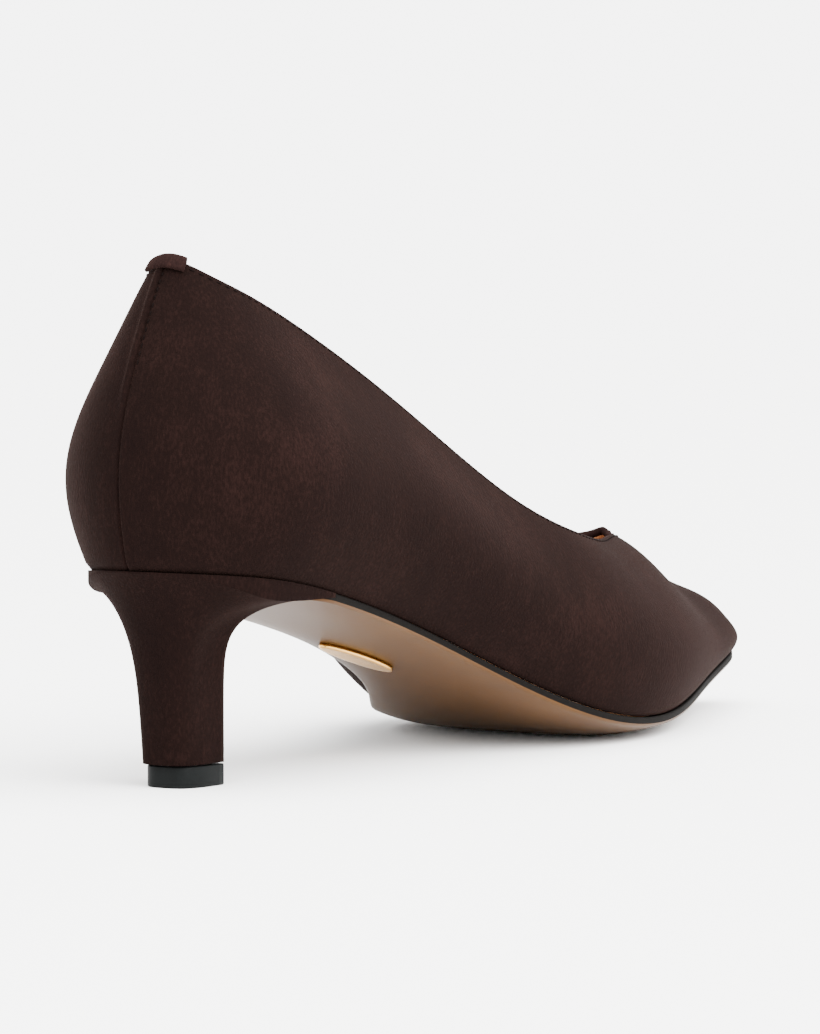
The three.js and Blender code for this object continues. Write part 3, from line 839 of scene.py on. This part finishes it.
def plate(name, sections, materials, columns, nodes, painted=False):
    faces = net_faces(sections.shape[0], sections.shape[1], closed_columns=True)
    for row in (0, sections.shape[0] - 1):
        start = row * sections.shape[1]
        for j in range(columns - 1):
            end = start + 2 * columns - 1 - j
            faces.append((start + j, start + j + 1, end - 1, end))
    picks = None
    if painted:
        picks = []
        for face in faces:
            places = [i % sections.shape[1] for i in face]
            picks.append(1 if max(places) >= columns else 0)
    piece = make_piece(name, sections, faces, materials, picks)
    hand_over(piece, nodes)
    return piece


SOLE_COLUMNS = 34
SOLE_CORNER = 0.5
INSOLE_CORNER = 0.8
outsole_sections = plate_sections(
    breast_and_edge(1, 130), breast_and_edge(-1, 130), sole_level, SOLE_THICKNESS, SOLE_CORNER, SOLE_COLUMNS
)
plate("outsole_leather", outsole_sections, [SOLE, EDGE], SOLE_COLUMNS, ["outsole"], True)

INSOLE_STATIONS = np.linspace(0, 1, 140)
insole_inset = WALL + INSOLE_SIDE_GAP
insole_sections = plate_sections(
    inset_edge(INSOLE_STATIONS, 1, insole_inset),
    inset_edge(INSOLE_STATIONS, -1, insole_inset),
    lambda x, y: sole_level(x, y) + SOLE_THICKNESS + 2 * GAP,
    INSOLE_THICKNESS,
    INSOLE_CORNER,
    SOLE_COLUMNS,
)
plate("insole_sock", insole_sections, [LINING], SOLE_COLUMNS, ["insole"])

# %% [markdown]
# The heel is a moulded block with suede drawn tight over it. Each rib climbs from the stem and
# turns out late to the seat's edge, then stands upright for the height of the lip. The lips run
# forward along the sole on both sides, and the breast between them is hollowed.

# %% The covered heel
HEEL_RIBS = (
    # taper, power, bend, lip
    (0.4, 4.5, 1, 0.12),
    (0.25, 4.5, 1, 0.32),
    (0.05, 7, 0.6, 0.88),
    (0, 8, 0.5, 0.24),
)
STEM_POWER = 0.62
LEVEL_BUNCH = 1.7
HEEL_LEVELS = 44
SEAT_GAP = 0.3
BREAST_GAP = 0.2


def stem_point(turn, side, inset=0):
    """A point of the stem's D shape, from the middle of its back to its front corner."""
    half = STEM_WIDTH / 2 - inset
    depth = STEM_FRONT - STEM_BACK - 2 * inset
    x = side * half * math.sin(turn) ** STEM_POWER
    return x, STEM_FRONT - inset - depth * max(math.cos(turn), 0) ** STEM_POWER


def heel_ribs(side):
    """Stem point, seat point and the four shape numbers of each rib on one side."""
    shape = [smooth_curve(values) for values in zip(*HEEL_RIBS)]
    lip_station = station_at(np.float64(LIP_END))
    ribs = []
    for q in np.linspace(0, 1, 60):
        x, y = edge(np.float64(lip_station * q), side)
        taper, power, bend, lip = (float(curve(q)) for curve in shape)
        ribs.append((stem_point(q * math.pi / 2, side), (x, y), (taper, power, bend, lip * LIP_DEPTH)))
    _, power, bend, lip = HEEL_RIBS[-1]
    middle_lip = SOLE_THICKNESS + 2 * GAP
    for q in np.linspace(0, 1, 25)[1:]:
        turn = (1 - q) * math.pi / 2
        y = BREAST_LINE - BREAST_GAP + (LIP_END - BREAST_LINE) * (1 - math.cos(turn))
        x, _ = edge(station_at(np.float64(y)), side)
        drop = lip * LIP_DEPTH + (middle_lip - lip * LIP_DEPTH) * min(1, 2 * q)
        stem = (side * STEM_WIDTH / 2 * (1 - q), STEM_FRONT)
        ribs.append((stem, (float(x) * math.sin(turn), y), (0, power, bend, drop)))
    return ribs


def heel_rib_points(stem, seat, shape, levels):
    taper, power, bend, lip = shape
    feather = float(feather_at(station_at(np.float64(seat[1]))))
    low = LIFT_HEIGHT + GAP
    band = feather - lip
    share = 1 - (1 - np.linspace(0, 1, levels)) ** LEVEL_BUNCH
    turned = 1 - (1 - share**power) ** bend
    mix = (taper * share + (1 - taper) * turned)[:, None]
    flat = np.array(stem) * (1 - mix) + np.array(seat) * mix
    z = low + (band - low) * share
    rising = np.column_stack([flat, z])
    upright = [(seat[0], seat[1], z) for z in np.linspace(band, feather - SEAT_GAP, 5)[1:]]
    return np.concatenate([rising, upright])


def covered_heel():
    ribs = heel_ribs(1) + heel_ribs(-1)[1:-1][::-1]
    points = np.stack([heel_rib_points(*rib, HEEL_LEVELS) for rib in ribs])
    count = points.shape[1]
    faces = net_faces(points.shape[0], count, closed_rows=True)
    low_middle = len(ribs) * count
    high_middle = low_middle + 1
    for i in range(len(ribs)):
        k = (i + 1) % len(ribs)
        faces.append((i * count, k * count, low_middle))
        faces.append((i * count + count - 1, k * count + count - 1, high_middle))
    middles = [(0, (STEM_FRONT + STEM_BACK) / 2, points[0, 0, 2]), (0, 0, points[0, -1, 2] - 0.3)]
    piece = make_piece("heel_suede", np.concatenate([points.reshape(-1, 3), middles]), faces, [SUEDE])
    hand_over(piece, ["heel"])


covered_heel()

# %% [markdown]
# The top lift is pushed on under the stem. It has the stem's D shape, a little smaller, with its
# edges broken by a small radius as a mould leaves them.

# %% The top lift
def lift_outline(inset, steps=40):
    turns = np.linspace(0, math.pi / 2, steps)
    half = np.array([stem_point(turn, 1, inset) for turn in turns]) + [0, LIFT_FORWARD]
    return np.concatenate([half, half[1:][::-1] * [-1, 1]])


def top_lift():
    radius = 0.35
    turns = np.linspace(0, np.pi / 2, 5)
    low = [(radius * (1 - math.sin(w)), radius * (1 - math.cos(w))) for w in turns]
    high = [(inset, LIFT_HEIGHT - z) for inset, z in low[::-1]]
    rows = []
    for inset, z in low + high:
        outline = lift_outline(LIFT_INSET + inset)
        rows.append(np.column_stack([outline, np.full(len(outline), z)]))
    points = np.stack(rows)
    faces = net_faces(points.shape[0], points.shape[1], closed_columns=True)
    count = points.shape[1]
    faces.append(tuple(range(count)))
    faces.append(tuple(range((len(rows) - 1) * count, len(rows) * count)))
    piece = make_piece("top_lift_plastic", points, faces, [LIFT])
    hand_over(piece, ["top_lift"])


top_lift()

# %% [markdown]
# Under the arch sits a thin plaque. Here it is a plain oval with a bevelled rim.

# %% The plaque
def plaque():
    step = 4
    level = lambda y: float(sole_level(np.float64(PLAQUE_OFFSET), np.float64(y)))
    tilt = math.atan2(level(PLAQUE_CENTRE + step) - level(PLAQUE_CENTRE - step), 2 * step)
    base = np.array([PLAQUE_OFFSET, PLAQUE_CENTRE, level(PLAQUE_CENTRE) - 0.05])
    turn = math.radians(90 - PLAQUE_TURN)
    length = np.array([math.sin(turn), math.cos(turn) * math.cos(tilt), math.cos(turn) * math.sin(tilt)])
    down = np.array([0, math.sin(tilt), -math.cos(tilt)])
    width = np.cross(length, down)
    rings = [(0, 0), (0, 0.7), (0.12, 0.95), (0.35, 1.08), (0.8, PLAQUE_THICKNESS), (1.6, PLAQUE_THICKNESS)]
    angles = np.linspace(0, 2 * np.pi, 72, endpoint=False)
    rows = []
    for inset, depth in rings:
        a = (PLAQUE_LENGTH / 2 - inset) * np.cos(angles)
        b = (PLAQUE_WIDTH / 2 - inset) * np.sin(angles)
        rows.append(base + a[:, None] * length + b[:, None] * width + depth * down)
    points = np.stack(rows)
    faces = net_faces(len(rows), 72, closed_columns=True)
    faces.append(tuple(range(72)))
    faces.append(tuple(range((len(rows) - 1) * 72, len(rows) * 72)))
    piece = make_piece("sole_plaque_plate", points, faces, [PLATE])
    hand_over(piece, ["sole_plaque"])


plaque()

# %% [markdown]
# Stitches hold the turned edge along the topline and beside the back seam. Each is a small
# length of thread with round ends, half sunk in the suede. They are placed by their distance
# along the surface, so the pitch stays even.

# %% Stitches
STITCH_LENGTH = 1.3
STITCH_PITCH = 2.1
THREAD_RADIUS = 0.17
TOP_ROW = 1.7


def stitch_shape(start, end, normal, radius):
    """Points of one stitch: rings along an arc that dips into the surface at both ends."""
    rings, spokes = 7, 8
    axis = unit(end - start)
    sideways = unit(np.cross(axis, normal))
    points = []
    for i in range(rings):
        f = i / (rings - 1)
        swell = math.sin(math.pi * min(max(f, 0.06), 0.94)) ** 0.4
        centre = start + (end - start) * f + normal * (radius * (0.9 * math.sin(math.pi * f) - 0.35))
        for j in range(spokes):
            w = 2 * math.pi * j / spokes
            points.append(centre + radius * swell * (math.cos(w) * sideways + math.sin(w) * normal))
    return points, rings, spokes


def stitch_row(name, line, normals, length, pitch, radius):
    """A mesh of stitches along a line of surface points."""
    steps = np.linalg.norm(np.diff(line, axis=0), axis=1)
    distance = np.concatenate([[0], np.cumsum(steps)])
    points, faces = [], []
    at = lambda values, s: np.array([np.interp(s, distance, values[:, i]) for i in range(3)])
    for s in np.arange(pitch / 2, distance[-1] - length, pitch):
        start, end = at(line, s), at(line, s + length)
        shape, rings, spokes = stitch_shape(start, end, unit(at(normals, s + length / 2)), radius)
        offset = len(points)
        points += shape
        faces += [tuple(i + offset for i in face) for face in net_faces(rings, spokes, closed_columns=True)]
        faces.append(tuple(range(offset, offset + spokes)))
        faces.append(tuple(range(offset + (rings - 1) * spokes, offset + rings * spokes)))
    piece = make_piece(name, points, faces, [THREAD], merge=0.001)
    hand_over(piece, [])
    return piece


def topline_row(side):
    a = np.linspace(0, 1, 900) ** 1.4
    up = 1 - TOP_ROW / rib_length(a, side)
    return upper_point(a, up, side), upper_normal(a, up, side)


right_line, right_normals = topline_row(1)
left_line, left_normals = topline_row(-1)
loop = np.concatenate([right_line, left_line[::-1][1:]])
loop_normals = np.concatenate([right_normals, left_normals[::-1][1:]])
stitch_row("topline_stitches", loop, loop_normals, STITCH_LENGTH, STITCH_PITCH, THREAD_RADIUS)

SEAM_ROW = 0.45
SEAM_STITCH = (1.2, 1.8, 0.2)  # length, pitch and radius
seam_ups = np.linspace(0.95, 0.55, 120)
seam_across = np.full_like(seam_ups, 0.0002)
while upper_point(seam_across[0], 0.8, 1)[0] < SEAM_ROW:
    seam_across = seam_across + 0.0002
seam_normals = upper_normal(seam_across, seam_ups, 1)
seam_line = upper_point(seam_across, seam_ups, 1)
stitch_row("seam_stitches", seam_line, seam_normals, *SEAM_STITCH)

# %% [markdown]
# The studio is a pale floor that runs on as far as the camera sees, a large soft light above,
# and a paler one from each side. Large lights give the soft, nearly shadowless look of a
# catalogue picture, with one quiet contact shadow under the shoe.

# %% Floor and lights
def studio_floor():
    size = 12000
    points = [(-size, -size, 0), (size, -size, 0), (size, size, 0), (-size, size, 0)]
    mesh = bpy.data.meshes.new("studio_floor")
    mesh.from_pydata([tuple(v * MM for v in p) for p in points], [], [(0, 1, 2, 3)])
    floor = bpy.data.objects.new("studio_floor", mesh)
    bpy.context.collection.objects.link(floor)
    material, tree, output, place = new_material("pale_paper")
    tooth = add_node(tree, "ShaderNodeTexNoise", {"Scale": per_mm(2), "Detail": 2.0}, {"Vector": place})
    bump = add_node(
        tree, "ShaderNodeBump", {"Strength": 0.05, "Distance": 0.1 * MM}, {"Height": tooth.outputs["Fac"]}
    )
    shader = add_node(
        tree, "ShaderNodeBsdfPrincipled", {"Base Color": linear("#fbfbfa"), "Roughness": 0.9},
        {"Normal": bump.outputs["Normal"]},
    )
    tree.links.new(shader.outputs[0], output.inputs["Surface"])
    mesh.materials.append(material)


def aim_lamp(name, data, place):
    lamp = bpy.data.objects.new(name, data)
    bpy.context.collection.objects.link(lamp)
    lamp.location = Vector(place) * MM
    lamp.rotation_euler = (Vector(SHOE_MIDDLE) - Vector(place)).to_track_quat("-Z", "Y").to_euler()


def softbox(name, place, size, power):
    data = bpy.data.lights.new(name, "AREA")
    data.size = size * MM
    data.energy = power
    aim_lamp(name, data, place)


def wide_ceiling(place, strength, spread):
    """A bright ceiling far above, which lights the whole floor alike."""
    data = bpy.data.lights.new("bright_ceiling", "SUN")
    data.energy = strength
    data.angle = math.radians(spread)
    aim_lamp("bright_ceiling", data, place)


studio_floor()
SHOE_MIDDLE = (0, 100, 45)
wide_ceiling((450, 0, 1000), 14, 90)
softbox("right_softbox", (1300, -200, 700), 900, 24)
softbox("left_softbox", (-900, -900, 700), 900, 1)


def studio_world():
    """White surroundings. The camera sees them brighter than they light the shoe, as a lit wall."""
    world = bpy.data.worlds.new("studio_world")
    world.use_nodes = True
    tree = world.node_tree
    tree.nodes.clear()
    seen = add_node(tree, "ShaderNodeLightPath").outputs["Is Camera Ray"]
    strength = add_node(
        tree, "ShaderNodeMapRange", {"To Min": SURROUND_LIGHT, "To Max": WALL_BRIGHTNESS}, {"Value": seen}
    )
    white = {"Color": (1.0, 1.0, 1.0, 1.0)}
    light = add_node(tree, "ShaderNodeBackground", white, {"Strength": strength.outputs["Result"]})
    output = add_node(tree, "ShaderNodeOutputWorld")
    tree.links.new(light.outputs[0], output.inputs["Surface"])
    bpy.context.scene.world = world


SURROUND_LIGHT = 2.6
WALL_BRIGHTNESS = 6.1
studio_world()

# %% [markdown]
# The camera stands where the photographer's did: behind the shoe, on its outer side, low and
# nearly a metre away. A long lens keeps the lines quiet.

# %% Camera
CAMERA_AZIMUTH = 36
CAMERA_DISTANCE = 896
CAMERA_HEIGHT = 97
AIM = (-6, 95, 51)
SENSOR = 36
LENS = 193


def set_camera():
    data = bpy.data.cameras.new("studio_camera")
    camera = bpy.data.objects.new("studio_camera", data)
    bpy.context.collection.objects.link(camera)
    turn = math.radians(CAMERA_AZIMUTH)
    place = Vector((CAMERA_DISTANCE * math.sin(turn), -CAMERA_DISTANCE * math.cos(turn), CAMERA_HEIGHT))
    camera.location = place * MM
    camera.rotation_euler = (Vector(AIM) - place).to_track_quat("-Z", "Y").to_euler()
    data.sensor_fit = "HORIZONTAL"
    data.sensor_width = SENSOR
    data.lens = LENS
    data.clip_end = 20
    bpy.context.scene.camera = camera
    print("camera at", [round(v) for v in place], "mm, lens", LENS, "mm")


set_camera()

# %% [markdown]
# Last, the view layer is updated.

# %% Finish
bpy.context.view_layer.update()
